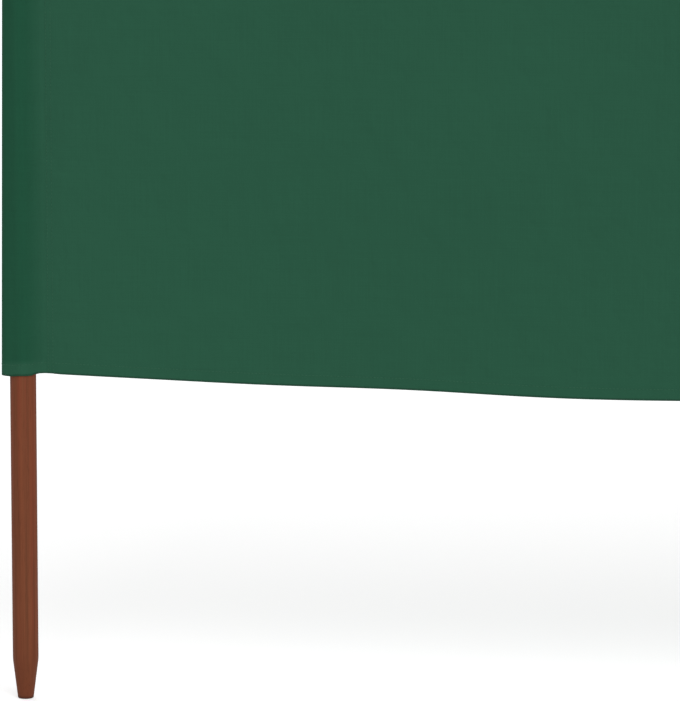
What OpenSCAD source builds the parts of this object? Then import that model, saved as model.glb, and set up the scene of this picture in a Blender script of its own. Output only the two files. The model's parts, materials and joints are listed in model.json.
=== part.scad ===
// Beach windbreak: bays of cloth between wooden poles, set up in a shallow zigzag.
// X runs along the row, Y from front to back and Z up from the tips of the poles.
// The origin is on the tip of the middle pole.

/* [Run] */
// Number of cloth bays, with a pole at each end of every bay
bay_count = 4; // [2:1:6]
// Distance between the centres of neighbouring poles
bay_length = 1333; // [900:1:1600]
// Angle between a bay and the line of the run
zigzag_angle = 9; // [0:0.5:30]

/* [Poles] */
// Diameter of a pole
pole_d = 30; // [24:0.5:40]
// Length of a pole with its tip
pole_length = 1200; // [1080:1:1500]
// Length of the tapered tip
tip_length = 47; // [30:1:90]
// Diameter that the taper comes down to
tip_d = 17.6; // [10:0.2:22]
// Radius of the worn rim round the end of the tip
tip_rim = 2; // [0.5:0.1:3]
// Radius of the rounded edge at the top of a pole
top_round = 3; // [0.5:0.5:6]

/* [Cloth] */
// Height of the cloth along a pole
cloth_height = 800; // [500:1:900]
// Thickness of one layer of cloth
cloth_t = 1; // [0.6:0.1:1.5]
// Length of pole that stands out above the cloth
pole_above = 15; // [4:1:60]
// Dip of the top edge in the middle of a bay
top_sag = 12; // [2:1:40]
// Dip of the bottom edge in the middle of a bay
bottom_sag = 16; // [2:1:40]
// How far the middle of a bay is pushed back
belly = 12; // [2:1:80]
// Height of the turned hem along the top and bottom edges
hem_height = 15; // [8:0.5:30]

/* [Sleeves] */
// Clearance between a pole and its sleeve
sleeve_play = 0.3; // [0.1:0.1:1]
// Distance from the side of a pole to the seam beside it
seam_gap = 12; // [5:0.5:20]
// Distance from the side of a pole to the fold at either end of the run
fold_gap = 8; // [5:0.5:20]
// Width of the sewn margin of a sleeve on the back of the cloth
seam_margin = 10; // [4:0.5:25]

/* [Hidden] */
pole_count = bay_count + 1;
middle_pole = floor(bay_count / 2) + 1;
round_steps = 8;

pole_r = pole_d / 2;
tip_r = tip_d / 2;
taper_angle = atan((pole_r - tip_r) / tip_length);
rim_center_r = tip_r - tip_rim * (1 - sin(taper_angle)) / cos(taper_angle);
pole_fn = 96;

cloth_top = pole_length - pole_above;
cloth_bottom = cloth_top - cloth_height;

// A sleeve is a round wall about the pole, drawn flat at its seam or fold on either side
sleeve_inner_r = pole_r + sleeve_play;
sleeve_outer_r = sleeve_inner_r + cloth_t;
seam_reach = pole_r + seam_gap;
fold_reach = pole_r + fold_gap;
margin_reach = seam_reach + seam_margin;

// The cloth of a bay spans from the seam of one sleeve to the seam of the next.
// Its stations are both seams and even steps between the sewn margins.
cloth_span = bay_length - 2 * seam_reach;
cloth_depth = 2 * (belly + 2 * cloth_t);
span_steps = 24;
open_span = bay_length - 2 * margin_reach;
stations = concat(
    [seam_reach],
    [for (k = [0 : span_steps]) margin_reach + open_span * k / span_steps],
    [bay_length - seam_reach]
);
open_stations = [for (k = [1 : len(stations) - 2]) stations[k]];

pole_color = "#75432F";
sleeve_color = "#224F3A";
cloth_color = "#2B5641";
hem_color = "#27513D";

POLES = [for (i = [1 : pole_count]) str("pole_", i)];
SLEEVES = [for (i = [1 : pole_count]) str("sleeve_", i)];
PANELS = [for (i = [1 : bay_count]) str("panel_", i)];
TOP_HEMS = [for (i = [1 : bay_count]) str("top_hem_", i)];
BOTTOM_HEMS = [for (i = [1 : bay_count]) str("bottom_hem_", i)];

// Odd bays run towards the front and even bays towards the back
function bay_angle(i) = i % 2 == 1 ? -zigzag_angle : zigzag_angle;

// Poles with an even number stand in front of the others
function zigzag_y(i) = i % 2 == 1 ? 0 : -bay_length * sin(zigzag_angle);

function pole_place(i) = [
    (i - middle_pole) * bay_length * cos(zigzag_angle),
    zigzag_y(i) - zigzag_y(middle_pole),
    0
];

function polar(radius, angle) = radius * [cos(angle), sin(angle)];

// Points of an arc about a centre, between two angles
function arc_points(center, radius, from, to) =
    [for (k = [0 : round_steps]) center + polar(radius, from + (to - from) * k / round_steps)];

function reversed(points) = [for (k = [len(points) - 1 : -1 : 0]) points[k]];

function mirrored(points) = reversed([for (p = points) [p.x, -p.y]]);

function turned(points, angle) =
    [for (p = points) p.x * [cos(angle), sin(angle)] + p.y * [-sin(angle), cos(angle)]];

// Share of a dip or belly at a place along the bay: none at the seams and all of it midway
function bow(x) = 1 - pow((2 * x - bay_length) / cloth_span, 2);

function bowed_line(xs, level, rise) = [for (x = xs) [x, level + rise * bow(x)]];

// Flat outline between two bowed lines over the given stations
function bowed_strip(xs, low, low_rise, high, high_rise) =
    concat(bowed_line(xs, low, low_rise), reversed(bowed_line(xs, high, high_rise)));

// Front and back of one layer of cloth in a bay: layer 0 is the cloth and layer 1 lies on its back
function layer_front(layer) = (layer - 0.5) * cloth_t;
function layer_back(layer) = (layer + 0.5) * cloth_t;

// Outline of a sleeve's edge in the direction of a bay: the face that meets the cloth, then the margin
margin_points = bowed_strip([seam_reach, margin_reach], layer_front(1), belly, layer_back(1), belly);
seam_points = concat([[seam_reach, layer_front(0)]], margin_points);

// Outline of a sleeve's edge where the cloth is folded round the last pole, two layers thick
fold_points = [[fold_reach, -cloth_t], [fold_reach, cloth_t]];

// Angle between the direction of a sleeve's edge and the place where the wall to a point leaves the round
function leave_angle(point) = atan2(abs(point.y), point.x) + acos(sleeve_outer_r / norm(point));

module pole(i) {
    rim = arc_points([rim_center_r, tip_rim], tip_rim, -90, -taper_angle);
    shoulder = [[pole_r, tip_length]];
    crown = arc_points([pole_r - top_round, pole_length - top_round], top_round, 0, 90);
    profile = concat([[0, 0]], rim, shoulder, crown, [[0, pole_length]]);
    color(pole_color)
        translate(pole_place(i))
        rotate_extrude($fn = pole_fn)
        polygon(profile);
}

// Each side of a sleeve has the direction of its bay, or of its fold at the ends of the run.
// The inner outline keeps the wall's thickness and comes to a point on each side.
module sleeve(i) {
    right = bay_angle(min(i, bay_count));
    left = 180 + bay_angle(max(i - 1, 1));
    right_points = i == pole_count ? fold_points : seam_points;
    left_points = i == 1 ? fold_points : seam_points;
    right_front = right - leave_angle(right_points[0]);
    right_back = right + leave_angle(right_points[len(right_points) - 1]);
    left_front = left + leave_angle(left_points[0]);
    left_back = left - leave_angle(left_points[len(left_points) - 1]);
    right_inner = sleeve_inner_r / cos((right_back - right_front) / 2);
    left_inner = sleeve_inner_r / cos((left_front - left_back) / 2);
    outer = concat(
        turned(right_points, right),
        arc_points([0, 0], sleeve_outer_r, right_back, left_back),
        turned(mirrored(left_points), left),
        arc_points([0, 0], sleeve_outer_r, left_front, right_front + 360)
    );
    inner = concat(
        [polar(right_inner, (right_front + right_back) / 2)],
        arc_points([0, 0], sleeve_inner_r, right_back, left_back),
        [polar(left_inner, (left_front + left_back) / 2)],
        arc_points([0, 0], sleeve_inner_r, left_front, right_front + 360)
    );
    color(sleeve_color)
        translate(pole_place(i) + [0, 0, cloth_bottom])
        linear_extrude(cloth_height)
        difference() {
            polygon(outer);
            polygon(inner);
        }
}

// Band of cloth between two dipping edges, in the given layer.
// Its outline seen from the front is cut out of its curved strip seen from above.
module cloth_band(i, xs, low_z, low_sag, high_z, high_sag, layer) {
    translate(pole_place(i))
        rotate(bay_angle(i))
        intersection() {
            rotate([90, 0, 0])
                linear_extrude(cloth_depth, center = true)
                polygon(bowed_strip(xs, low_z, -low_sag, high_z, -high_sag));
            linear_extrude(pole_length)
                polygon(bowed_strip(xs, layer_front(layer), belly, layer_back(layer), belly));
        }
}

module panel(i) {
    color(cloth_color)
        cloth_band(i, stations, cloth_bottom, bottom_sag, cloth_top, top_sag, 0);
}

module top_hem(i) {
    color(hem_color)
        cloth_band(i, open_stations, cloth_top - hem_height, top_sag, cloth_top, top_sag, 1);
}

module bottom_hem(i) {
    color(hem_color)
        cloth_band(i, open_stations, cloth_bottom, bottom_sag, cloth_bottom + hem_height, bottom_sag, 1);
}

for (i = [1 : pole_count]) {
    pole(i);
    sleeve(i);
}
for (i = [1 : bay_count]) {
    panel(i);
    top_hem(i);
    bottom_hem(i);
}
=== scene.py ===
import json
import math

import bpy
import numpy as np
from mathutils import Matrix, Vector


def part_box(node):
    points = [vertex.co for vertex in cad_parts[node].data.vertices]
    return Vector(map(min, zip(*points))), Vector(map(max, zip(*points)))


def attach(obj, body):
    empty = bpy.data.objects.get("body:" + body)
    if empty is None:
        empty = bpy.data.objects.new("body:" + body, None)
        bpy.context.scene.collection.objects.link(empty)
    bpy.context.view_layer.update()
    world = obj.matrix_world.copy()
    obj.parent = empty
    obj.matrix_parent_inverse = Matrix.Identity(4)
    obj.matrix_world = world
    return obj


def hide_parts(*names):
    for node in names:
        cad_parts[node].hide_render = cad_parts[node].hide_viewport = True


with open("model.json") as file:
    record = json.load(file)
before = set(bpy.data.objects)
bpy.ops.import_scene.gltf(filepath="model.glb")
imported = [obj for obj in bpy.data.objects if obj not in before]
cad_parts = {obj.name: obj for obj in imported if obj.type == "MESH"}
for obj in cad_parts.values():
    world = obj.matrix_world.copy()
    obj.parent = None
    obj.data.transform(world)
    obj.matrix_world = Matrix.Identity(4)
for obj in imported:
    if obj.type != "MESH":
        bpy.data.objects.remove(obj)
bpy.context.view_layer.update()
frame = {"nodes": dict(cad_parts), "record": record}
record = frame["record"]


# Sizes and places taken from the frame

def nodePoints(name):
    # corner points of a CAD node, one row each
    mesh = frame["nodes"][name].data
    flat = np.empty(3 * len(mesh.vertices))
    mesh.vertices.foreach_get("co", flat)
    return flat.reshape(-1, 3)


def fromFirstPole(points, direction):
    # distance of points from the first pole's axis, measured in a level direction
    return (points[:, :2] - tips[0, :2]) @ direction


tips = np.array([mount["pos_m"] for mount in record["mounts"]])
poleCount = len(tips)
bayCount = poleCount - 1
baySteps = np.diff(tips[:, :2], axis=0)
bayLength = float(np.linalg.norm(baySteps, axis=1).mean())
bayDir = baySteps / bayLength                                   # along each bay, away from its left pole
bayBack = np.stack([-bayDir[:, 1], bayDir[:, 0]], axis=1)       # towards the back of each bay

poleRadius = float(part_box("pole_1")[1][0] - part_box("pole_1")[0][0]) / 2
poleTop = float(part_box("pole_1")[1][2])
clothLow = float(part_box("sleeve_1")[0][2])
clothHigh = float(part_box("sleeve_1")[1][2])
clothHeight = clothHigh - clothLow

nearMiddle = 0.001                   # points this close to the middle of a bay are taken as in it
panelPoints = nodePoints("panel_1")
panelAlong = fromFirstPole(panelPoints, bayDir[0])
panelAcross = fromFirstPole(panelPoints, bayBack[0])
panelMiddle = panelPoints[np.abs(panelAlong - bayLength / 2) < nearMiddle, 2]
seamReach = float(panelAlong.min())
belly = float(panelAcross.max() + panelAcross.min())            # half a layer lies on either side of it
bottomSag = clothLow - float(panelMiddle.min())
topSag = clothHigh - float(panelMiddle.max())

hemPoints = nodePoints("bottom_hem_1")
hemAlong = fromFirstPole(hemPoints, bayDir[0])
hemMiddle = hemPoints[np.abs(hemAlong - bayLength / 2) < nearMiddle, 2]
marginReach = float(hemAlong.min())
hemHeight = float(hemMiddle.max() - hemMiddle.min())
print("frame read:", poleCount, "poles,", bayCount, "bays")


# Mesh helpers

def gridFaces(rows, cols, start=0, closed=False):
    # quads between neighbouring points of a grid, whose rows may close on themselves
    here = np.arange(cols if closed else cols - 1)
    after = (here + 1) % cols
    level = cols * np.arange(rows - 1)[:, None]
    quads = np.stack([level + here, level + after, level + cols + after, level + cols + here], axis=2)
    return start + quads.reshape(-1, 4)


def addPiece(name, points, faceSets, material, **layers):
    # smooth mesh object from an array of points and arrays of quads or triangles; each layer is an
    # attribute of its points, a vector or a number
    mesh = bpy.data.meshes.new(name)
    sizes = np.concatenate([np.full(len(faces), faces.shape[1]) for faces in faceSets])
    loops = np.concatenate([faces.ravel() for faces in faceSets])
    mesh.vertices.add(len(points))
    mesh.vertices.foreach_set("co", np.ascontiguousarray(points, dtype=np.float32).ravel())
    mesh.loops.add(len(loops))
    mesh.loops.foreach_set("vertex_index", loops.astype(np.int32))
    mesh.polygons.add(len(sizes))
    mesh.polygons.foreach_set("loop_start", (np.cumsum(sizes) - sizes).astype(np.int32))
    mesh.update(calc_edges=True)
    mesh.shade_smooth()
    for key, values in layers.items():
        kind, field = ("FLOAT_VECTOR", "vector") if values.ndim == 2 else ("FLOAT", "value")
        layer = mesh.attributes.new(key, kind, "POINT")
        layer.data.foreach_set(field, np.ascontiguousarray(values, dtype=np.float32).ravel())
    mesh.materials.append(material)
    piece = bpy.data.objects.new(name, mesh)
    bpy.context.scene.collection.objects.link(piece)
    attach(piece, "root")
    return piece


def thicken(piece, thickness):
    # a layer of cloth has half its thickness on either side of its surface, and its cut edges are square
    mesh = piece.data
    edgeOfLoop = np.empty(len(mesh.loops), dtype=np.int32)
    mesh.loops.foreach_get("edge_index", edgeOfLoop)
    border = np.bincount(edgeOfLoop, minlength=len(mesh.edges)) == 1
    mesh.attributes.new("sharp_edge", "BOOLEAN", "EDGE").data.foreach_set("value", border)
    layer = piece.modifiers.new("layer", "SOLIDIFY")
    layer.thickness = thickness
    layer.offset = 0
    return piece


def smoothStep(low, high, value):
    # share of the way from low to high, eased as three times its square less twice its cube
    share = np.clip((value - low) / (high - low), 0, 1)
    return share * share * (3 - 2 * share)


def packedTowardsEnds(count, packing):
    # shares from 0 to 1 that lie closer together near both ends: even steps less part of one sine
    even = np.linspace(0, 1, count)
    return even - packing * np.sin(2 * np.pi * even) / (2 * np.pi)


def reachedAlong(points):
    # distance along a row of points up to each of them
    steps = np.linalg.norm(np.diff(points, axis=0), axis=1)
    return np.concatenate([[0], np.cumsum(steps)])


def roundedPath(corners, radii, runSteps, arcSteps):
    # path through corner points, for many rows at once: straight runs, and at each inner corner the arc of
    # its radius that touches the runs on both sides
    before = corners[:, 1:-1] - corners[:, :-2]
    after = corners[:, 2:] - corners[:, 1:-1]
    before = before / np.linalg.norm(before, axis=2, keepdims=True)
    after = after / np.linalg.norm(after, axis=2, keepdims=True)
    turn = np.arctan2(before[..., 0] * after[..., 1] - before[..., 1] * after[..., 0],
                      (before * after).sum(axis=2))
    reach = np.asarray(radii) * np.tan(np.abs(turn) / 2)
    arcStart = corners[:, 1:-1] - before * reach[..., None]
    arcStop = corners[:, 1:-1] + after * reach[..., None]
    inward = np.sign(turn)[..., None] * np.stack([-before[..., 1], before[..., 0]], axis=2)
    center = arcStart + inward * np.asarray(radii)[:, None]
    runStart = np.concatenate([corners[:, :1], arcStop], axis=1)
    runStop = np.concatenate([arcStart, corners[:, -1:]], axis=1)
    stretches = []
    for k, steps in enumerate(runSteps):
        share = np.arange(steps)[None, :, None] / max(steps, 1)
        stretches.append(runStart[:, k, None] + (runStop[:, k, None] - runStart[:, k, None]) * share)
        if k < len(arcSteps):
            angle = turn[:, k, None] * np.arange(arcSteps[k])[None, :] / arcSteps[k]
            arm = (arcStart[:, k] - center[:, k])[:, None]
            swung = np.stack([arm[..., 0] * np.cos(angle) - arm[..., 1] * np.sin(angle),
                              arm[..., 0] * np.sin(angle) + arm[..., 1] * np.cos(angle)], axis=2)
            stretches.append(center[:, k, None] + swung)
    return np.concatenate(stretches + [corners[:, -1:]], axis=1)


# Material helpers

noiseLow, noiseHigh = 0.3, 0.7       # nearly all values of a noise lie between these


def startMaterial(name):
    # material with an empty node tree
    material = bpy.data.materials.new(name)
    material.use_nodes = True
    tree = material.node_tree
    tree.nodes.clear()
    return material, tree


def addNode(tree, kind, settings=None, inputs=None):
    # node with its settings; an input is a value, or another node's output socket that feeds it
    node = tree.nodes.new(kind)
    for key, value in (settings or {}).items():
        setattr(node, key, value)
    for key, value in (inputs or {}).items():
        if isinstance(value, bpy.types.NodeSocket):
            tree.links.new(value, node.inputs[key])
        else:
            node.inputs[key].default_value = value
    return node


def finishMaterial(material, tree, inputs):
    # the material's one shader, with its inputs
    shader = addNode(tree, "ShaderNodeBsdfPrincipled", None, inputs)
    addNode(tree, "ShaderNodeOutputMaterial", None, {"Surface": shader.outputs[0]})
    return material


def fromScreen(red, green, blue):
    # linear colour of a screen colour given from 0 to 255, by the usual curve of a screen
    shares = np.array([red, green, blue]) / 255
    linear = np.where(shares <= 0.04045, shares / 12.92, ((shares + 0.055) / 1.055) ** 2.4)
    return (*map(float, linear), 1.0)


def meshLayer(tree, name, kind="Fac"):
    # values that the mesh carries at its points
    return addNode(tree, "ShaderNodeAttribute", {"attribute_name": name}).outputs[kind]


def stretchedNoise(tree, place, scale, detail=2.0, roughness=0.5):
    # noise that is stretched along an axis by a smaller scale on it
    spread = addNode(tree, "ShaderNodeVectorMath", {"operation": "MULTIPLY"}, {0: place, 1: scale})
    inputs = {"Vector": spread.outputs[0], "Scale": 1.0, "Detail": detail, "Roughness": roughness}
    return addNode(tree, "ShaderNodeTexNoise", None, inputs).outputs["Fac"]


def mapRange(tree, value, fromLow, fromHigh, toLow, toHigh):
    # value carried in proportion from one range to another, and held at its ends
    inputs = {"Value": value, "From Min": fromLow, "From Max": fromHigh, "To Min": toLow, "To Max": toHigh}
    return addNode(tree, "ShaderNodeMapRange", None, inputs).outputs[0]


def mixColors(tree, factor, first, second):
    # the first colour at a factor of 0, the second at 1
    inputs = {0: factor, 6: first, 7: second}
    return addNode(tree, "ShaderNodeMix", {"data_type": "RGBA"}, inputs).outputs[2]


def mathNode(tree, operation, first, second=0.0):
    # one step of arithmetic
    return addNode(tree, "ShaderNodeMath", {"operation": operation}, {0: first, 1: second}).outputs[0]


def scaleColor(tree, color, factor):
    # colour times a factor
    first = color if isinstance(color, bpy.types.NodeSocket) else color[:3]
    return addNode(tree, "ShaderNodeVectorMath", {"operation": "SCALE"}, {0: first, 3: factor}).outputs[0]


def bumped(tree, height, depth, strength, under=None):
    # surface direction tilted by the slope of a relief, which may lie on another relief
    inputs = {"Height": height, "Distance": depth, "Strength": strength}
    if under is not None:
        inputs["Normal"] = under
    return addNode(tree, "ShaderNodeBump", None, inputs).outputs[0]


# Materials

clothFinish = {
    "panel": (42.5, 88, 67),
    "backed": (32, 80, 58.5),        # painted shade: one layer with the dark pole right behind it, where no light comes through
    "threadPitch": 0.0007,           # from one thread of the weave to the next
    "weaveDepth": 0.00012,
    "weaveStrength": 0.4,
    "weaveTone": 0.06,               # painted shade of the gap beside a thread, against its lighter crown
    "streakScale": (11.0, 700.0),    # along and across the threads
    "unevenness": 0.05,              # how far single threads differ in tone
    "driftScale": (2.3, 3.1, 1.0),
    "drift": 0.018,                  # how far the tone changes over the cloth
    "crumpleScale": (21.0, 17.0, 1.0),
    "crumple": 0.004,                # depth of faint dents all over the cloth
    "crumpleStrength": 1.0,
    "edgeTone": 0.66,                # of the painted shade line along a folded edge
    "edgeFull": 0.0011,              # height that the painted shade darkens fully
    "edgeEnd": 0.0024,
    "edgeRagged": 0.0004,            # how far the line runs up or down single threads
    "roughness": (0.82, 0.92),
    "gloss": 0.05,
    "sheen": 0.05,
    "sheenRoughness": 0.4,
    "sheenTint": (0.45, 0.8, 0.62, 1.0),
}


def clothMaterial(name, backed):
    # plain weave: crowns of threads as the product of two sines along and up the cloth, with painted shade in
    # the gaps between them, streaks of lighter and darker threads both ways, a slow drift of tone and a line
    # of painted shade along the folded edges; the mark on the mesh shows where a pole lies behind, and there
    # the colour is darker as painted shade
    look = clothFinish
    material, tree = startMaterial(name)
    place = meshLayer(tree, "place", "Vector")
    alongThread, acrossThread = look["streakScale"]
    weft = stretchedNoise(tree, place, (alongThread, acrossThread, 1.0))
    warp = stretchedNoise(tree, place, (acrossThread, alongThread, 1.0))
    streaks = mathNode(tree, "ADD", weft, warp)
    streakRange = (2 * noiseLow, 2 * noiseHigh)
    tone = mapRange(tree, streaks, *streakRange, 1 - look["unevenness"], 1 + look["unevenness"])
    drift = stretchedNoise(tree, place, look["driftScale"])
    slow = mapRange(tree, drift, noiseLow, noiseHigh, 1 - look["drift"], 1 + look["drift"])
    parts = addNode(tree, "ShaderNodeSeparateXYZ", None, {0: place})
    halfTurns = math.pi / look["threadPitch"]
    across = mathNode(tree, "SINE", mathNode(tree, "MULTIPLY", parts.outputs[0], halfTurns))
    upward = mathNode(tree, "SINE", mathNode(tree, "MULTIPLY", parts.outputs[1], halfTurns))
    checks = mathNode(tree, "ABSOLUTE", mathNode(tree, "MULTIPLY", across, upward))
    # painted shade: the gaps between threads darker and the crowns lighter, as the weave's relief would be
    # lit
    weaveShadeFactor = mapRange(tree, checks, 0.0, 1.0, 1 - look["weaveTone"], 1 + look["weaveTone"] / 2)
    toneAndWeaveShade = mathNode(tree, "MULTIPLY", mathNode(tree, "MULTIPLY", tone, slow), weaveShadeFactor)
    # painted shade: a darker line along the folded edges, where the fold turns under
    ragged = mapRange(tree, warp, noiseLow, noiseHigh, -look["edgeRagged"], look["edgeRagged"])
    fromEdge = mathNode(tree, "ADD", meshLayer(tree, "fromEdge"), ragged)
    paintedEdgeShade = mapRange(tree, fromEdge, look["edgeFull"], look["edgeEnd"], look["edgeTone"], 1.0)
    color = fromScreen(*look["panel"])
    # painted shade: the sleeve's cloth takes a darker colour where the pole lies behind it and blocks the
    # light
    if backed:
        color = mixColors(tree, meshLayer(tree, "mark"), color, fromScreen(*look["backed"]))
    dents = stretchedNoise(tree, place, look["crumpleScale"], detail=3.0)
    crumpled = bumped(tree, dents, look["crumple"], look["crumpleStrength"])
    threads = mathNode(tree, "ADD", checks, streaks)
    return finishMaterial(material, tree, {
        "Base Color": scaleColor(tree, color, mathNode(tree, "MULTIPLY", toneAndWeaveShade, paintedEdgeShade)),
        "Roughness": mapRange(tree, streaks, *streakRange, *look["roughness"]),
        "Specular IOR Level": look["gloss"],
        "Sheen Weight": look["sheen"],
        "Sheen Roughness": look["sheenRoughness"],
        "Sheen Tint": look["sheenTint"],
        "Normal": bumped(tree, threads, look["weaveDepth"], look["weaveStrength"], crumpled),
    })


threadFinish = {
    "color": (50, 97, 74),
    "fluffScale": (1500.0, 1500.0, 1500.0),
    "fluffTone": 0.1,
    "fluffDepth": 0.0001,
    "fluffStrength": 0.4,
    "roughness": 0.7,
    "gloss": 0.15,
}


def threadMaterial():
    # sewing thread: fine even noise for its fluff, in tone and in relief
    look = threadFinish
    material, tree = startMaterial("sewing_thread")
    fluff = stretchedNoise(tree, meshLayer(tree, "place", "Vector"), look["fluffScale"], roughness=0.6)
    tone = mapRange(tree, fluff, noiseLow, noiseHigh, 1 - look["fluffTone"], 1 + look["fluffTone"])
    return finishMaterial(material, tree, {
        "Base Color": scaleColor(tree, fromScreen(*look["color"]), tone),
        "Roughness": look["roughness"],
        "Specular IOR Level": look["gloss"],
        "Normal": bumped(tree, fluff, look["fluffDepth"], look["fluffStrength"]),
    })


woodFinish = {
    "stain": (117, 65, 43),
    "tints": [                       # colour, what it follows, two values of that, and its share at each
        ((110, 64, 42), "hue", (0.34, 0.5), (1.0, 0.0)),         # brown streaks
        ((123, 63, 43), "hue", (0.5, 0.64), (0.0, 1.0)),         # red streaks
        ((99, 57, 38), "grain", (0.36, 0.5), (0.9, 0.0)),        # dark grain
        ((125, 70, 46), "grain", (0.5, 0.66), (0.0, 0.8)),       # light grain
        ((107, 58, 37), "height", (0.03, 0.10), (0.7, 0.0)),     # darker towards the tip
    ],
    "pore": (74, 40, 26),
    "poreScale": (1900.0, 1900.0, 45.0),
    "poreNoise": (0.64, 0.74),       # at which a pore begins and is full
    "poreShare": 0.55,
    "fibreScale": (800.0, 800.0, 8.0),
    "fibreShare": 0.55,              # of the grain, the rest of which is broad figure
    "figureScale": (190.0, 190.0, 2.2),
    "hueScale": (125.0, 125.0, 1.6),
    "endGrain": (84, 48, 34),
    "fromHeart": (0.031, 0.012, 0.0),             # to the axis of the first pole
    "ringPitch": 0.0022,
    "ringShare": 0.7,
    "grainDepth": 0.0003,
    "grainStrength": 0.35,
    "grainRange": (0.35, 0.65),
    "roughness": (0.66, 0.52),       # at both ends of that range
    "gloss": 0.08,
}


def woodMaterial():
    # stained wood: long fibres and broad figure as noise stretched along the pole, tints mixed in one after
    # another by hue, grain and height, short dark pores, and on the cut ends rings as a sine of the distance
    # from a heart outside the pole; the mark on the mesh shows the cut ends
    look = woodFinish
    material, tree = startMaterial("stained_wood")
    place = meshLayer(tree, "place", "Vector")
    fibre = stretchedNoise(tree, place, look["fibreScale"], detail=4.0, roughness=0.6)
    figure = stretchedNoise(tree, place, look["figureScale"])
    follows = {
        "grain": mathNode(tree, "ADD", mathNode(tree, "MULTIPLY", fibre, look["fibreShare"]),
                          mathNode(tree, "MULTIPLY", figure, 1 - look["fibreShare"])),
        "hue": stretchedNoise(tree, place, look["hueScale"], detail=1.0),
        "height": addNode(tree, "ShaderNodeSeparateXYZ", None, {0: place}).outputs[2],
    }
    color = fromScreen(*look["stain"])
    for tint, source, values, shares in look["tints"]:
        share = mapRange(tree, follows[source], *values, *shares)
        color = mixColors(tree, share, color, fromScreen(*tint))
    poreNoise = stretchedNoise(tree, place, look["poreScale"], detail=1.0)
    pores = mapRange(tree, poreNoise, *look["poreNoise"], 0.0, look["poreShare"])
    color = mixColors(tree, pores, color, fromScreen(*look["pore"]))
    offHeart = addNode(tree, "ShaderNodeVectorMath", {"operation": "MULTIPLY_ADD"},
                       {0: place, 1: (1.0, 1.0, 0.0), 2: look["fromHeart"]})
    distance = addNode(tree, "ShaderNodeVectorMath", {"operation": "LENGTH"}, {0: offHeart.outputs[0]})
    turns = mathNode(tree, "MULTIPLY", distance.outputs["Value"], 2 * math.pi / look["ringPitch"])
    rings = mapRange(tree, mathNode(tree, "SINE", turns), -1.0, 1.0, 0.0, look["ringShare"])
    cut = mixColors(tree, rings, fromScreen(*look["endGrain"]), fromScreen(*look["pore"]))
    relief = mathNode(tree, "SUBTRACT", fibre, pores)
    return finishMaterial(material, tree, {
        "Base Color": mixColors(tree, meshLayer(tree, "mark"), color, cut),
        "Roughness": mapRange(tree, follows["grain"], *look["grainRange"], *look["roughness"]),
        "Specular IOR Level": look["gloss"],
        "Normal": bumped(tree, relief, look["grainDepth"], look["grainStrength"]),
    })


panelCloth = clothMaterial("panel_cloth_weave", False)
sleeveCloth = clothMaterial("sleeve_cloth_weave", True)
hemCloth = clothMaterial("hem_cloth_weave", False)
sewingThread = threadMaterial()
stainedWood = woodMaterial()
print("materials made")


# Poles

poleLook = {
    "tipLength": 0.047,
    "tipRadius": 0.0091,             # that the taper comes down to
    "rimRadius": 0.0017,
    "crownRadius": 0.003,
    "shoulderRadius": 0.06,          # softens the start of the taper
    "capRadius": 0.0012,             # of the small fan in the middle of either end
    "steps": 72,                     # round the pole
    "runSteps": [4, 14, 70, 4],      # over the end of the tip, the taper, the shank and the top
    "arcSteps": [8, 8, 8],
    "offCentre": 0.00025,            # of the hand-shaped tip
    "firstLean": math.pi,            # where the first pole's tip is off to, the others' by chance
    "unround": 0.00008,
    "lobes": [(2, 3.0, 1.0), (3, -2.0, 0.6)],     # how many, how far they wind in a metre, and weight
    "swell": 0.00027,                # from the tip up to the cloth
    "cutFull": 0.0012,               # height at each end that shows dark end grain
    "cutEdge": 0.0024,
    "grainApart": (0.4, 0.3, 0.0),   # from one pole's place in the grain to the next one's
    "seed": 24,
}


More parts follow.
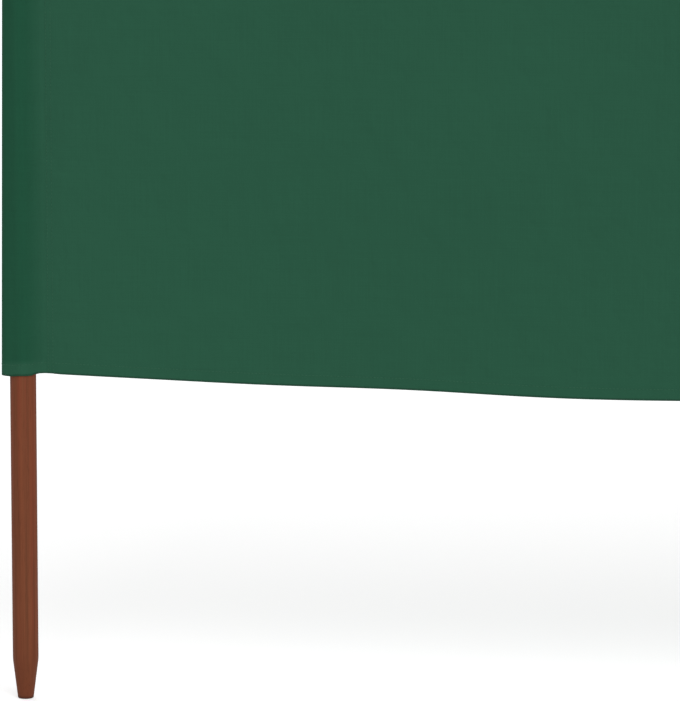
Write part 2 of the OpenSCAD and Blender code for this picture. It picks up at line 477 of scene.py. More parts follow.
def makePole(i):
    # profile from the centre of the tip to the centre of the top, turned round the pole's axis; the radius
    # swells and shrinks by a few slow sines round the pole, and the taper runs slightly off centre
    look = poleLook
    random = np.random.default_rng(look["seed"] + i)
    cap = look["capRadius"]
    corners = np.array([[[cap, 0.0], [look["tipRadius"], 0.0], [poleRadius, look["tipLength"]],
                         [poleRadius, poleTop], [cap, poleTop]]])
    radii = [look["rimRadius"], look["shoulderRadius"], look["crownRadius"]]
    profile = roundedPath(corners, radii, look["runSteps"], look["arcSteps"])[0]
    radius, height = profile[:, :1], profile[:, 1:]
    angle = 2 * np.pi * np.arange(look["steps"])[None, :] / look["steps"]
    phases = random.uniform(0, 2 * np.pi, len(look["lobes"]))
    lobes = sum(weight * np.sin(count * angle + wind * height + phase)
                for (count, wind, weight), phase in zip(look["lobes"], phases))
    swell = look["swell"] * np.clip(height / clothLow, 0, 1)
    radius = radius + (look["unround"] * lobes + swell) * (radius / poleRadius)
    lean = look["firstLean"] if i == 0 else random.uniform(0, 2 * np.pi)
    shift = look["offCentre"] * np.clip(1 - height / look["tipLength"], 0, 1)
    local = np.stack([radius * np.cos(angle) + shift * math.cos(lean),
                      radius * np.sin(angle) + shift * math.sin(lean),
                      np.broadcast_to(height, radius.shape)], axis=2)
    rows, steps = radius.shape
    ends = np.array([[0.0, 0.0, 0.0], [0.0, 0.0, poleTop]])
    local = np.concatenate([local.reshape(-1, 3), ends])
    ring = np.arange(steps)
    after = (ring + 1) % steps
    topRing = (rows - 1) * steps
    bottom = np.stack([np.full(steps, rows * steps), after, ring], axis=1)
    top = np.stack([np.full(steps, rows * steps + 1), topRing + ring, topRing + after], axis=1)
    turn = random.uniform(0, 2 * np.pi)
    spin = np.array([[math.cos(turn), -math.sin(turn), 0], [math.sin(turn), math.cos(turn), 0], [0, 0, 1]])
    places = local @ spin.T + i * np.array(look["grainApart"])
    fromEnd = np.minimum(local[:, 2], poleTop - local[:, 2])
    cutEnds = smoothStep(look["cutEdge"], look["cutFull"], fromEnd)
    faces = [gridFaces(rows, steps, closed=True), bottom, top]
    piece = addPiece(f"pole_{i + 1}_wood", local + tips[i], faces, stainedWood, place=places, mark=cutEnds)
    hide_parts(f"pole_{i + 1}")
    return piece


polePieces = [makePole(i) for i in range(poleCount)]
print("poles made:", len(polePieces))


# Cloth: the shape that panels, sleeves, hems and stitches share

clothLook = {
    "thickness": 0.0005,
    "layerLift": 0.0007,             # from one layer to the layer sewn on its back
    "panelStart": 0.002,             # past the seam in the frame, where the fillet of a sleeve ends
    "seamRise": 0.0014,              # the lower edge is drawn up beside a pole
    "riseStart": 0.0125,             # from the pole's axis
    "riseFull": 0.0157,
    "riseFade": 0.06,
    "dipPower": 1.3,
    "edgeLift": [(0.319, 0.103, 0.0042), (0.62, 0.12, 0.003),    # where each bay's lower edge is tighter:
                 (0.30, 0.11, 0.003), (0.55, 0.14, 0.004)],      # share of the bay, width and lift
    "topWave": 0.0015,
    "topWaves": 1.5,                 # along a bay
    "waves": [(2.1, 0.35, 1.0), (3.4, -0.5, 0.55), (1.3, 0.9, 0.35)],     # along a bay, up it, and weight
    "waveSize": [0.0022, 0.0095, 0.0105, 0.0088],
    "waveFade": 0.8,                 # power by which the waves end at the seams
    "swags": 2.3,                    # in the height of the cloth
    "swagSize": [0.0008, 0.0058, 0.0050, 0.0064],
    "swagSag": 0.45,                 # share of their spacing by which they sag
    "lowFlutes": 6.7,                # along a bay
    "highFlutes": 5.3,
    "fluteDrift": (0.3, 5),          # how far the lower ones drift along a bay, and how fast
    "fluteSize": [0.0003, 0.0028, 0.0024, 0.0030],
    "fluteFade": 0.08,               # height over which the free edges stop waving
    # sizes of the folds out of each bay's corners: lower left, upper left, lower right, upper right
    "cornerFolds": [(0.0003, 0.0070, 0.0060, 0.0085), (0.0075, 0.0098, 0.0068, 0.0105),
                    (0.0068, 0.0092, 0.0082, 0.0098), (0.0065, 0.0105, 0.0075, 0.0085)],
    "cornerReach": 0.22,
    "cornerCount": 14,               # folds that a whole turn about the corner would hold
    "cornerNarrow": 2,               # how narrow their ridges are
    "cornerTrough": 0.3,
    "puckerSize": 0.00030,
    "puckerPitch": 0.031,
    "puckerDrift": (2.2, 9),         # how far they drift up a seam, and how fast
    "puckerReach": 0.012,
    "weaveApart": 3.7,               # from one piece's place in the weave to the next one's
    "rows": 131,
    "rowPacking": 0.6,
    "columns": 161,
    "columnPacking": 0.8,
    "phases": 8,                     # drawn for each bay
    "seed": 5,
}
clothStart = seamReach + clothLook["panelStart"]
openLength = bayLength - 2 * seamReach
heightShares = packedTowardsEnds(clothLook["rows"], clothLook["rowPacking"])
bayRandom = [np.random.default_rng(clothLook["seed"] + bay) for bay in range(bayCount)]
wavePhases = [random.uniform(0, 2 * np.pi, clothLook["phases"]) for random in bayRandom]
tiny = 1e-6                          # keeps an angle defined at its corner


def besidePole(distance):
    # none in front of the pole, all of it where the cloth leaves the pole, and fading away along the bay
    leaving = smoothStep(clothLook["riseStart"], clothLook["riseFull"], distance)
    return leaving * np.exp(-np.maximum(distance - clothLook["riseFull"], 0) / clothLook["riseFade"])


def bayShare(x):
    # share of the way from seam to seam
    return np.clip((x - seamReach) / openLength, 0, 1)


def lowEdge(bay, x):
    # lower edge: level at the seams, dips by the sag between them, is drawn up beside the poles and has one
    # shallow lift where the cloth is tighter
    share = bayShare(x)
    place, width, lift = clothLook["edgeLift"][bay]
    dip = bottomSag * np.sin(np.pi * share) ** clothLook["dipPower"]
    tight = lift * np.exp(-((share - place) / width) ** 2) * np.sin(np.pi * share)
    return clothLow - dip + tight + clothLook["seamRise"] * (besidePole(x) + besidePole(bayLength - x))


def highEdge(bay, x):
    # upper edge: level at the seams, with its own sag and a slow wave between them
    share = bayShare(x)
    dip = topSag * np.sin(np.pi * share) ** clothLook["dipPower"]
    wave = np.sin(2 * np.pi * clothLook["topWaves"] * share + wavePhases[bay][6]) * np.sin(np.pi * share)
    return clothHigh - dip + clothLook["topWave"] * wave


def cornerRipple(size, across, upward, phase):
    # folds that fan out of one corner: narrow ridges at even angles about it, which grow with the distance
    # from the corner and die out again, and are nothing along the seam and along the free edge
    look = clothLook
    reach = np.hypot(across, upward) / look["cornerReach"]
    angle = np.arctan2(np.maximum(across, 0), np.maximum(upward, tiny))
    around = np.cos(look["cornerCount"] * angle + phase)
    ridges = np.exp(look["cornerNarrow"] * (around - 1)) - look["cornerTrough"]
    return size * ridges * np.sin(2 * angle) * reach * np.exp(-reach ** 2)


def bayDepth(bay, x, share):
    # distance behind the flat line between two poles: the belly, long slanting waves, sagging folds that
    # follow the dip of the cloth, flutes along the free edges, folds out of the four corners, and puckers
    # along both seams
    look, phase = clothLook, wavePhases[bay]
    along = bayShare(x)
    bow = 4 * along * (1 - along)
    height = share * clothHeight
    below = clothHeight - height
    fromLeft, fromRight = x - clothStart, bayLength - x - clothStart
    waves = sum(weight * np.sin(2 * np.pi * (times * along + slant * share) + start)
                for (times, slant, weight), start in zip(look["waves"], phase))
    swags = np.cos(2 * np.pi * (look["swags"] * share + look["swagSag"] * bow) + phase[3]) * bow
    drift, pace = look["fluteDrift"]
    lowTurns = look["lowFlutes"] * along + drift * np.sin(pace * along)
    lowFlutes = np.sin(2 * np.pi * lowTurns + phase[5]) * np.exp(-height / look["fluteFade"])
    highTurns = look["highFlutes"] * along
    highFlutes = np.sin(2 * np.pi * highTurns + phase[6]) * np.exp(-below / look["fluteFade"])
    flutes = look["fluteSize"][bay] * (lowFlutes + highFlutes) * np.sqrt(bow)
    drift, pace = look["puckerDrift"]
    ripple = np.sin(2 * np.pi * height / look["puckerPitch"] + drift * np.sin(pace * height + phase[4]))
    beside = sum(np.exp(-np.abs(distance) / look["puckerReach"]) for distance in (fromLeft, fromRight))
    puckers = look["puckerSize"] * ripple * beside
    places = [(fromLeft, height), (fromLeft, below), (fromRight, height), (fromRight, below)]
    corners = sum(cornerRipple(size, *place, start)
                  for size, place, start in zip(look["cornerFolds"][bay], places, phase[4:]))
    loose = look["waveSize"][bay] * waves * bow ** look["waveFade"] + look["swagSize"][bay] * swags
    return belly * bow + loose + flutes + puckers + corners


def bayPoint(bay, x, share, lift=0.0):
    # point of a bay's cloth at a distance from the left pole and a share of the height, moved back by lift
    x, share = np.broadcast_arrays(x, share)
    low, high = lowEdge(bay, x), highEdge(bay, x)
    depth = bayDepth(bay, x, share) + lift
    flat = tips[bay, :2] + x[..., None] * bayDir[bay] + depth[..., None] * bayBack[bay]
    return np.concatenate([flat, (low + (high - low) * share)[..., None]], axis=-1)


def clothPlaces(points, along, rank):
    # distance along the cloth and height, for the weave; the rank sets panels and sleeves apart in it
    return np.stack([along, points[..., 2], np.full(along.shape, clothLook["weaveApart"] * rank)], axis=-1)


turnLook = {
    "foldDepth": 0.00035,            # of the round that a turned hem makes below its edge
    "foldSteps": 6,
    "foldFade": 0.004,               # over which the round begins at either end of a hem
    "tuck": 0.0003,                  # height above the edge at which the round begins, inside its cloth
    "tuckLift": 0.03,                # share of the lift there
    "stitchHeight": 0.0125,          # above the folded edge
}


def turnedEdge(lift):
    # half round of a turned hem: height below the edge as a sine, and lift across it as a cosine; it begins
    # a little above the edge, inside the cloth that it is turned from
    turn = np.linspace(0, np.pi, turnLook["foldSteps"] + 1)
    height = np.append(turnLook["tuck"], -turnLook["foldDepth"] * np.sin(turn))
    return height, lift * np.append(turnLook["tuckLift"], (1 - np.cos(turn)) / 2)


# Panels

def makePanel(bay):
    # grid over the bay from sleeve to sleeve and from edge to edge
    columns = packedTowardsEnds(clothLook["columns"], clothLook["columnPacking"])
    x, share = np.meshgrid(clothStart + (bayLength - 2 * clothStart) * columns, heightShares)
    points = bayPoint(bay, x, share)
    fromEdge = np.minimum(share, 1 - share) * clothHeight
    piece = addPiece(f"panel_{bay + 1}_cloth", points.reshape(-1, 3), [gridFaces(*x.shape)], panelCloth,
                     place=clothPlaces(points, x, bay).reshape(-1, 3), fromEdge=fromEdge.ravel())
    thicken(piece, clothLook["thickness"])
    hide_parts(f"panel_{bay + 1}")
    return piece


panelPieces = [makePanel(bay) for bay in range(bayCount)]
print("panels made:", len(panelPieces))


# Sleeves

sleeveLook = {
    "slack": 0.0007,                 # from the pole to the middle of the sleeve's cloth
    "seamCorner": 0.0255,            # from the pole's axis to where front and back would meet
    "seamFillet": 0.010,
    "foldRound": 0.012,              # radius of the slack fold at either end of the run
    "foldLow": 0.0249,               # reach of the fold at the lower edge of the cloth
    "foldHigh": 0.0202,              # and from foldHeight upward
    "foldHeight": 0.437,
    "foldDrop": 0.0010,              # the lower edge hangs lower at a fold
    "dropFull": 0.8,                 # share of the pole's radius at which it hangs lowest
    "hemPuff": 0.0010,               # the turned hem makes the ends of a sleeve thicker
    "puffFull": 0.5,                 # share of the pole's radius within which they are thickest
    "hemBlend": 0.004,               # height over which that fades
    "hemLift": 0.00075,              # from the cloth to the turned layer inside
    "hemSide": 0.0205,               # from the pole's axis, as far as the turned layer goes
    "hemRows": 4,
    "backingFull": 0.003,            # from the pole's axis, as far as the painted shade of the pole behind the cloth is full
    "backingEnd": 0.032,
    "backingFold": 0.9,              # painted shade on the side of a fold, where two layers lie together
    "startSteps": 2,                 # beside the edge of a panel
    "marginSteps": 4,
    "runSteps": 8,
    "poleSteps": 22,
    "seamSteps": 6,
}
sleeveRadius = poleRadius + sleeveLook["slack"]


def polar(radius, angle):
    # point at a distance and an angle from the pole's axis
    return np.stack(np.broadcast_arrays(radius * np.cos(angle), radius * np.sin(angle)), axis=-1)


def leaveAngle(point, side):
    # angle at which the tangent from a point touches the sleeve's round, on one side
    reach = np.linalg.norm(point, axis=-1)
    return np.arctan2(point[..., 1], point[..., 0]) + side * np.arccos(sleeveRadius / reach)


def poleCorner(rightAngle, leftAngle):
    # where the two tangents of the round cross
    return polar(sleeveRadius / np.cos((leftAngle - rightAngle) / 2), (rightAngle + leftAngle) / 2)


def foldReaches(share):
    # the fold is slacker at the lower edge and comes closer to the pole in proportion to the height
    low, high = sleeveLook["foldLow"], sleeveLook["foldHigh"]
    return low + (high - low) * np.clip(share * clothHeight / sleeveLook["foldHeight"], 0, 1)


def foldTangent(reach):
    # angle between the direction of a fold and the straight run that touches both the pole's round and the
    # smaller round of the fold
    foldRound = sleeveLook["foldRound"]
    return np.arccos((sleeveRadius - foldRound) / (reach - foldRound))


def foldCorner(reach, direction, side):
    # where that run crosses the line that closes the fold
    foldRound = sleeveLook["foldRound"]
    half = side * foldTangent(reach) / 2
    heading = math.atan2(direction[1], direction[0])
    return (reach - foldRound)[:, None] * direction + polar(foldRound / np.cos(half), heading + half)


def sleeveSides(i):
    # directions of a sleeve's right and left side: its bay on that side, or straight on where the run ends
    return bayDir[min(i, bayCount - 1)], -bayDir[max(i - 1, 0)]


def seamCorners(direction, back, count):
    # corners of one seam in plan, repeated for a number of rows: the panel's edge, where front and back would
    # meet, the same on the back layer, and the end of the sewn margin
    meeting, lifted = sleeveLook["seamCorner"] * direction, clothLook["layerLift"] * back
    places = [clothStart * direction, meeting, meeting + lifted, marginReach * direction + lifted]
    return [np.ones((count, 1)) * place for place in places]


def sleevePaths(i, share):
    # plan of a sleeve about its pole for each share of the height: straight from the seams and folds to the
    # round of the pole, with every corner rounded; an end sleeve is one path, another has front and back
    look = sleeveLook
    rightDir, leftDir = sleeveSides(i)
    rightBack = np.array([-rightDir[1], rightDir[0]])
    leftBack = np.array([leftDir[1], -leftDir[0]])
    rightStart, rightFront, rightBehind, rightStop = seamCorners(rightDir, rightBack, len(share))
    leftStart, leftFront, leftBehind, leftStop = seamCorners(leftDir, leftBack, len(share))
    rightHeading = math.atan2(rightDir[1], rightDir[0])
    leftHeading = math.atan2(leftDir[1], leftDir[0])
    fold = foldReaches(share)
    tangent = foldTangent(fold)
    frontRight = rightHeading - tangent if i == bayCount else leaveAngle(rightFront, -1)
    backRight = rightHeading + tangent if i == bayCount else leaveAngle(rightBehind, 1)
    frontLeft = leftHeading + tangent if i == 0 else leaveAngle(leftFront, 1)
    backLeft = leftHeading - tangent if i == 0 else leaveAngle(leftBehind, -1)
    frontCorner = poleCorner(frontRight + 2 * np.pi, np.mod(frontLeft, 2 * np.pi))
    backCorner = poleCorner(backRight, np.mod(backLeft, 2 * np.pi))
    start, margin = look["startSteps"], look["marginSteps"]
    run, arc, bend = look["runSteps"], look["poleSteps"], look["seamSteps"]
    fillet, foldRound = look["seamFillet"], look["foldRound"]
    endRadii = [fillet, sleeveRadius, foldRound, foldRound, sleeveRadius, fillet]
    endRuns = [start, run, run, 0, run, run, margin]
    endArcs = [bend, arc, 2 * bend, 2 * bend, arc, bend]
    if i == 0:
        foldFront, foldBack = foldCorner(fold, leftDir, 1), foldCorner(fold, leftDir, -1)
        corners = [rightStart, rightFront, frontCorner, foldFront,
                   foldBack, backCorner, rightBehind, rightStop]
        return [roundedPath(np.stack(corners, axis=1), endRadii, endRuns, endArcs)]
    if i == bayCount:
        foldFront, foldBack = foldCorner(fold, rightDir, -1), foldCorner(fold, rightDir, 1)
        corners = [leftStop, leftBehind, backCorner, foldBack,
                   foldFront, frontCorner, leftFront, leftStart]
        return [roundedPath(np.stack(corners, axis=1), endRadii, endRuns[::-1], endArcs)]
    front = [rightStart, rightFront, frontCorner, leftFront, leftStart]
    back = [leftStop, leftBehind, backCorner, rightBehind, rightStop]
    radii, arcs = [fillet, sleeveRadius, fillet], [bend, arc, bend]
    return [roundedPath(np.stack(front, axis=1), radii, [start, run, run, start], arcs),
            roundedPath(np.stack(back, axis=1), radii, [margin, run, run, margin], arcs)]


def sleevePoints(i, path, share, lift=0.0):
    # path in plan set up over the height: each point takes its edges, belly and puckers from the bay on its
    # side of the pole, and the turned hems at both ends stand out a little; with the points come the share of
    # painted shade where the pole lies behind the cloth, where the turned hem goes, and the distance from the
    # nearer end
    look = sleeveLook
    rightDir, leftDir = sleeveSides(i)
    towardsRight, towardsLeft = path @ rightDir, path @ leftDir
    onRight = towardsRight >= towardsLeft
    distance = np.where(onRight, towardsRight, towardsLeft)
    isFold = ~onRight & (i == 0) | onRight & (i == bayCount)
    turned = smoothStep(look["hemSide"], look["hemSide"] - turnLook["foldFade"], distance)
    share = share[:, None]
    within = np.clip(share, 0, 1)
    share = within + (share - within) * np.where(isFold, 1.0, turned)
    low, high = np.full(distance.shape, clothLow), np.full(distance.shape, clothHigh)
    moved = np.zeros(path.shape)
    for side, bay in ((onRight, i), (~onRight, i - 1)):
        if 0 <= bay < bayCount:
            x = distance if bay == i else bayLength - distance
            low = np.where(side, lowEdge(bay, x), low)
            high = np.where(side, highEdge(bay, x), high)
            moved = np.where(side[..., None], bayDepth(bay, x, share)[..., None] * bayBack[bay], moved)
        else:
            drop = look["foldDrop"] * smoothStep(0, look["dropFull"] * poleRadius, distance)
            low = np.where(side, clothLow - drop, low)
    height = (high - low) * share
    fromEnd = np.minimum(height, high - low - height)
    halfBlend = look["hemBlend"] / 2
    hem = smoothStep(hemHeight + halfBlend, hemHeight - halfBlend, fromEnd)
    slope = np.gradient(path, axis=1)
    slope = slope / np.linalg.norm(slope, axis=2, keepdims=True)
    outward = np.stack([-slope[..., 1], slope[..., 0]], axis=2)
    onPole = smoothStep(look["hemSide"], look["puffFull"] * poleRadius, distance)
    flat = path + moved + (lift + look["hemPuff"] * hem * onPole)[..., None] * outward
    points = np.concatenate([flat + tips[i, :2], (low + height)[..., None]], axis=2)
    # painted shade: full in front of the pole, fading along the bay, and nearly full on the side of a fold
    beside = smoothStep(look["backingEnd"], look["backingFull"], distance)
    backed = np.where(isFold, look["backingFold"], beside) * (1 - hem)
    return points, backed, (distance < look["hemSide"]) | isFold, fromEnd


def sleeveRows():
    # rows of a sleeve's three grids, as shares of the height with their lifts: the turned hem inside its
    # lower end, the sleeve itself, and the turned hem inside its upper end
    turnHeight, turnLift = turnedEdge(sleeveLook["hemLift"])
    flat = hemHeight * np.linspace(0, 1, sleeveLook["hemRows"] + 1)[1:]
    hemShares = np.append(turnHeight, flat) / clothHeight
    hemLifts = -np.append(turnLift, np.full(flat.shape, sleeveLook["hemLift"]))
    return [(hemShares[::-1], hemLifts[::-1], True),
            (heightShares, 0 * heightShares, False),
            (1 - hemShares, hemLifts, True)]


def makeSleeve(i):
    # the paths of all heights as one or two grids, with a strip inside each end where its hem is turned in
    points, faces, places, marks, edges = [], [], [], [], []
    start = 0
    for shares, lifts, isHem in sleeveRows():
        used = 0.0
        for path in sleevePaths(i, shares):
            sheet, backed, inTube, fromEnd = sleevePoints(i, path, shares, lifts[:, None])
            reached = reachedAlong(path[0])
            keep = inTube[0] if isHem else np.full(len(reached), True)
            along = np.broadcast_to(used - reached[keep], (len(shares), keep.sum()))
            faces.append(gridFaces(*along.shape, start=start)[:, ::-1])
            points.append(sheet[:, keep].reshape(-1, 3))
            places.append(clothPlaces(sheet[:, keep], along, i + 0.5).reshape(-1, 3))
            marks.append(backed[:, keep].ravel())
            edges.append(fromEnd[:, keep].ravel())
            used += reached[-1]
            start += along.size
        if not isHem:
            width = used
    piece = addPiece(f"sleeve_{i + 1}_cloth", np.concatenate(points), faces, sleeveCloth,
                     place=np.concatenate(places), mark=np.concatenate(marks), fromEdge=np.concatenate(edges))
    thicken(piece, clothLook["thickness"])
    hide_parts(f"sleeve_{i + 1}")
    return piece, width


sleevePieces, sleeveWidths = zip(*[makeSleeve(i) for i in range(poleCount)])
print("sleeves made:", len(sleevePieces))


# Hems

hemLook = {
    "lift": 0.00085,                 # of the turned layer behind the cloth
    "pressed": 0.00018,              # by the stitches
    "pressedWidth": 0.0012,
    "rawEdge": 0.0012,               # height over which the raw edge lies closer to the cloth
    "rawDrop": 0.45,                 # share of the lift by which it is closer
    "roping": 0.00008,
    "ropingPitch": 0.042,
    "ropingSlant": 0.8,
    "ropingStart": 0.004,            # height at which the ripples are full
    "weaveShift": 0.37,              # from the panel's place in the weave
    "rows": 11,
    "rowPacking": 0.85,
    "columns": 121,
    "columnPacking": 0.3,
}


def hemLift(height):
    # lift of the turned layer: level from the fold, pressed in at the stitches, lower at its raw edge
    look = hemLook
    inside = smoothStep(hemHeight, hemHeight - look["rawEdge"], height)
    fromStitches = (height - turnLook["stitchHeight"]) / look["pressedWidth"]
    return look["lift"] * (1 - look["rawDrop"] * (1 - inside)) - look["pressed"] * np.exp(-fromStitches ** 2)


def hemRoping(x, height):
    # slanting ripples of a hem that was pulled askew by the needle: a sine along it, which fades at the fold
    look = hemLook
    ripple = np.sin(2 * np.pi * (x + look["ropingSlant"] * height) / look["ropingPitch"])
    return look["roping"] * ripple * smoothStep(0, look["ropingStart"], height)


def hemShare(bay, x, edge, height):
    # share of the cloth's height that lies a height inside its lower or upper edge
    tall = highEdge(bay, x) - lowEdge(bay, x)
    return height / tall if edge == "bottom" else 1 - height / tall


def makeHem(bay, edge):
    # strip along an edge of the cloth: its profile, round the fold and up the back, carried along the edge
    columns = packedTowardsEnds(hemLook["columns"], hemLook["columnPacking"])
    flat = hemHeight * packedTowardsEnds(hemLook["rows"], hemLook["rowPacking"])[1:]
    turnHeight, turnLift = turnedEdge(hemLook["lift"])
    x, up = np.meshgrid(marginReach + (bayLength - 2 * marginReach) * columns, np.append(turnHeight, flat))
    fromEnd = np.minimum(x - marginReach, bayLength - marginReach - x)
    up = np.where(up < 0, up * smoothStep(0, turnLook["foldFade"], fromEnd), up)
    lift = np.append(turnLift, hemLift(flat))[:, None]
    points = bayPoint(bay, x, hemShare(bay, x, edge, up), lift + hemRoping(x, up))
    places = clothPlaces(points, x + hemLook["weaveShift"], bay)
    faces = gridFaces(*x.shape)
    piece = addPiece(f"{edge}_hem_{bay + 1}_cloth", points.reshape(-1, 3),
                     [faces[:, ::-1] if edge == "bottom" else faces], hemCloth,
                     place=places.reshape(-1, 3), fromEdge=up.ravel())
    thicken(piece, clothLook["thickness"])
    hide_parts(f"{edge}_hem_{bay + 1}")
    return piece


hemPieces = [[makeHem(bay, "top"), makeHem(bay, "bottom")] for bay in range(bayCount)]
print("hems made:", 2 * len(hemPieces))


# Stitches

stitchLook = {
    "pitch": 0.0042,
    "length": 0.0033,
    "width": 0.00075,
    "height": 0.00032,
    "level": 0.55,                   # share of a stitch that lies level
    "sunk": 0.25,                    # share of its height by which its ends and sides lie in the cloth
    "seamRows": [0.0012, 0.0068],    # from the start of the panel, on the sewn margin of the sleeve
    "seamEnd": 0.003,                # share of the height left free at either end of a seam
    "seamSamples": 300,
    "hemSamples": 400,
}


def stitchShapes(centers, along, outward):
    # each stitch is a slim three-sided bead of thread: it comes out of the cloth at one end, lies level over
    # its middle and goes in again at the other end
    look = stitchLook
    along = along / np.linalg.norm(along, axis=1, keepdims=True)
    outward = outward - (outward * along).sum(axis=1, keepdims=True) * along
    outward = outward / np.linalg.norm(outward, axis=1, keepdims=True)
    across = np.cross(outward, along)
    sunk = -look["sunk"]
    ringSpots = np.array([[0, 1, sunk], [0, 0, 1], [0, -1, sunk]])
    level = np.array([look["level"], 0, 0])
    ends = np.array([[-1, 0, sunk], [1, 0, sunk]])
    spots = np.concatenate([ringSpots - level, ringSpots + level, ends])
    arms = np.stack([along * look["length"] / 2, across * look["width"] / 2, outward * look["height"]],
                    axis=1)
    points = centers[:, None] + spots @ arms
    sideCount = len(ringSpots)
    ring = np.arange(sideCount)
    after = (ring + 1) % sideCount
    farRing, farAfter = ring + sideCount, after + sideCount
    firstEnd, lastEnd = np.full(sideCount, 2 * sideCount), np.full(sideCount, 2 * sideCount + 1)
    sides = np.stack([ring, after, farAfter, farRing], axis=1)
    caps = np.concatenate([np.stack([after, ring, firstEnd], axis=1),
                           np.stack([farRing, farAfter, lastEnd], axis=1)])
    start = len(spots) * np.arange(len(centers))[:, None, None]
    return points.reshape(-1, 3), [(start + sides).reshape(-1, 4), (start + caps).reshape(-1, 3)]


def rowSpots(points):
    # even spots along a row of points, with the row's direction there
    reached = reachedAlong(points)
    spots = np.arange(stitchLook["pitch"] / 2, reached[-1], stitchLook["pitch"])
    directions = np.gradient(points, axis=0)
    spread = [np.interp(spots, reached, points[:, k]) for k in range(3)]
    headed = [np.interp(spots, reached, directions[:, k]) for k in range(3)]
    return np.stack(spread, axis=1), np.stack(headed, axis=1)


def addStitches(name, rows):
    # one mesh for several rows, each a line of points with the direction that faces out of the cloth
    shapes, faces = [], []
    start = 0
    for points, outward in rows:
        centers, along = rowSpots(points)
        beads, beadFaces = stitchShapes(centers, along, np.broadcast_to(outward, centers.shape))
        shapes.append(beads)
        faces += [start + part for part in beadFaces]
        start += len(beads)
    shapes = np.concatenate(shapes)
    piece = addPiece(name, shapes, faces, sewingThread, place=shapes)
    return piece


def hemStitches(bay):
    # rows along both hems, on the front of the cloth and on the back of the turned layer
    x = np.linspace(marginReach, bayLength - marginReach, stitchLook["hemSamples"])
    back = np.append(bayBack[bay], 0.0)
    half = clothLook["thickness"] / 2
    height = np.full(x.shape, turnLook["stitchHeight"])
    rows = []
    for edge in ("top", "bottom"):
        share = hemShare(bay, x, edge, height)
        rows.append((bayPoint(bay, x, share, -half), -back))
        rows.append((bayPoint(bay, x, share, hemLift(height) + hemRoping(x, height) + half), back))
    return addStitches(f"hem_stitches_{bay + 1}", rows)


def sleeveStitches(i):
    # rows along the seams beside a pole, and round the turned hems at both ends of its sleeve
    rows = []
    half = clothLook["thickness"] / 2
    share = np.linspace(stitchLook["seamEnd"], 1 - stitchLook["seamEnd"], stitchLook["seamSamples"])
    for bay, atLeft in ((i, True), (i - 1, False)):
        if 0 <= bay < bayCount:
            back = np.append(bayBack[bay], 0.0)
            for inset in stitchLook["seamRows"]:
                x = np.full(share.shape, clothStart + inset if atLeft else bayLength - clothStart - inset)
                rows.append((bayPoint(bay, x, share, -half), -back))
                rows.append((bayPoint(bay, x, share, clothLook["layerLift"] + half), back))
    lowRow = turnLook["stitchHeight"] / clothHeight
    hemShares = np.array([lowRow, 1 - lowRow])
    for path in sleevePaths(i, hemShares):
        for line in sleevePoints(i, path, hemShares, half)[0]:
            along = rowSpots(line)[1]
            outward = np.stack([-along[:, 1], along[:, 0], 0 * along[:, 0]], axis=1)
            rows.append((line, outward))
    return addStitches(f"sleeve_stitches_{i + 1}", rows)


hemStitchPieces = [hemStitches(bay) for bay in range(bayCount)]
sleeveStitchPieces = [sleeveStitches(i) for i in range(poleCount)]
print("stitches made:", len(hemStitchPieces) + len(sleeveStitchPieces), "pieces")


# Sheets: how many panels and sleeves there are

print("sheets declared:", len(panelPieces) + len(sleevePieces))


# Floor, light and camera

stageLook = {
    "floorHalf": 300.0,
    "floorPoints": 3,                # along each side
    "floorColor": 0.8,
    "floorGlow": 0.40,               # only where it is seen directly
    "worldLight": 0.5,
    "keyLight": 1.53,
    "keyFrom": (0.28, -0.77, 0.57),
    "fillLight": 0.9,
    "fillFrom": (-0.5, 1.0, 0.6),
    "softness": 50,                  # of both lights, in degrees
}
cameraLook = {
    "fromFirstPole": (0.3693, -5.4330, 1.1758),
    "pitch": 8.0,                    # degrees below level
    "lens": 242.0,
    "sensor": 36.0,
    "farthest": 1000.0,
}


def seenDirectly(tree):
    # one for rays that come straight from the camera, a mirror or glass
    path = addNode(tree, "ShaderNodeLightPath")
    both = mathNode(tree, "MAXIMUM", path.outputs["Is Camera Ray"], path.outputs["Is Glossy Ray"])
    return mathNode(tree, "MAXIMUM", both, path.outputs["Is Transmission Ray"])


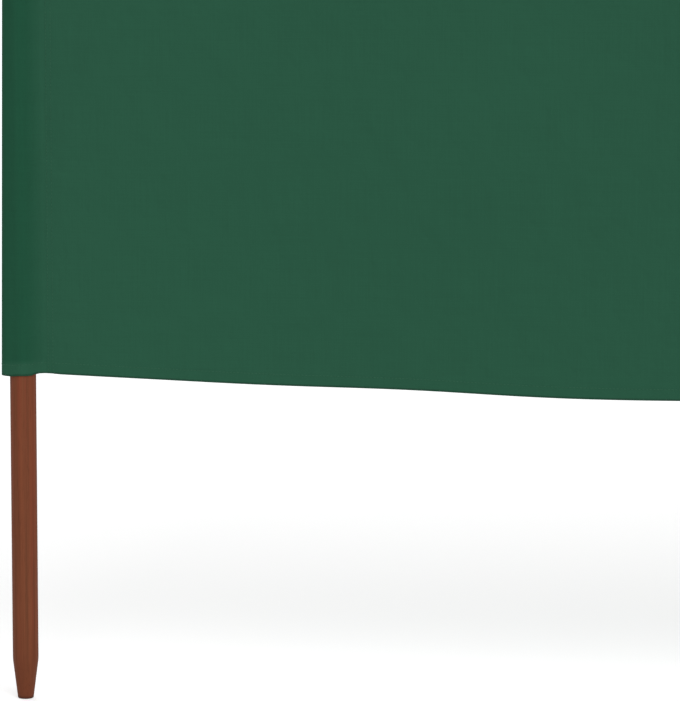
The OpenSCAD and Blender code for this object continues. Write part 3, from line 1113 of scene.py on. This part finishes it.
def makeFloor():
    # flat square grid under the tips
    side = np.linspace(-stageLook["floorHalf"], stageLook["floorHalf"], stageLook["floorPoints"])
    x, y = np.meshgrid(side, side)
    points = np.stack([x, y, np.zeros(x.shape)], axis=2).reshape(-1, 3)
    material, tree = startMaterial("pale_floor")
    pale = addNode(tree, "ShaderNodeBsdfDiffuse", None, {"Color": (*[stageLook["floorColor"]] * 3, 1.0)})
    glow = addNode(tree, "ShaderNodeEmission", None,
                   {"Strength": mathNode(tree, "MULTIPLY", seenDirectly(tree), stageLook["floorGlow"])})
    both = addNode(tree, "ShaderNodeAddShader", None, {0: pale.outputs[0], 1: glow.outputs[0]})
    addNode(tree, "ShaderNodeOutputMaterial", None, {"Surface": both.outputs[0]})
    mesh = bpy.data.meshes.new("floor")
    mesh.from_pydata(points.tolist(), [], gridFaces(*x.shape).tolist())
    mesh.materials.append(material)
    floor = bpy.data.objects.new("floor", mesh)
    bpy.context.scene.collection.objects.link(floor)


def makeWorld():
    # even white light, plain white where it is seen directly
    world = bpy.data.worlds.new("white_room")
    world.use_nodes = True
    tree = world.node_tree
    tree.nodes.clear()
    strength = mapRange(tree, seenDirectly(tree), 0.0, 1.0, stageLook["worldLight"], 1.0)
    inputs = {"Color": (1.0, 1.0, 1.0, 1.0), "Strength": strength}
    light = addNode(tree, "ShaderNodeBackground", None, inputs)
    addNode(tree, "ShaderNodeOutputWorld", None, {"Surface": light.outputs[0]})
    bpy.context.scene.world = world


def makeLamp(name, power, source):
    # soft light from far away, tilted and turned to shine from its source towards the object
    lamp = bpy.data.lights.new(name, "SUN")
    lamp.energy = power
    lamp.angle = math.radians(stageLook["softness"])
    holder = bpy.data.objects.new(name, lamp)
    aim = np.array(source) / np.linalg.norm(source)
    holder.rotation_euler = (math.acos(aim[2]), 0.0, math.atan2(aim[0], -aim[1]))
    bpy.context.scene.collection.objects.link(holder)


def makeCamera():
    # square to the run, in front of its first bay and looking a little down
    camera = bpy.data.cameras.new("camera")
    camera.lens = cameraLook["lens"]
    camera.sensor_width = cameraLook["sensor"]
    camera.clip_end = cameraLook["farthest"]
    holder = bpy.data.objects.new("camera", camera)
    holder.location = tips[0] + np.array(cameraLook["fromFirstPole"])
    holder.rotation_euler = (math.radians(90 - cameraLook["pitch"]), 0.0, 0.0)
    bpy.context.scene.collection.objects.link(holder)
    bpy.context.scene.camera = holder


makeFloor()
makeWorld()
makeLamp("key_light", stageLook["keyLight"], stageLook["keyFrom"])
makeLamp("fill_light", stageLook["fillLight"], stageLook["fillFrom"])
makeCamera()
bpy.context.scene.view_settings.view_transform = "Standard"
print("floor, light and camera made")

bpy.context.view_layer.update()
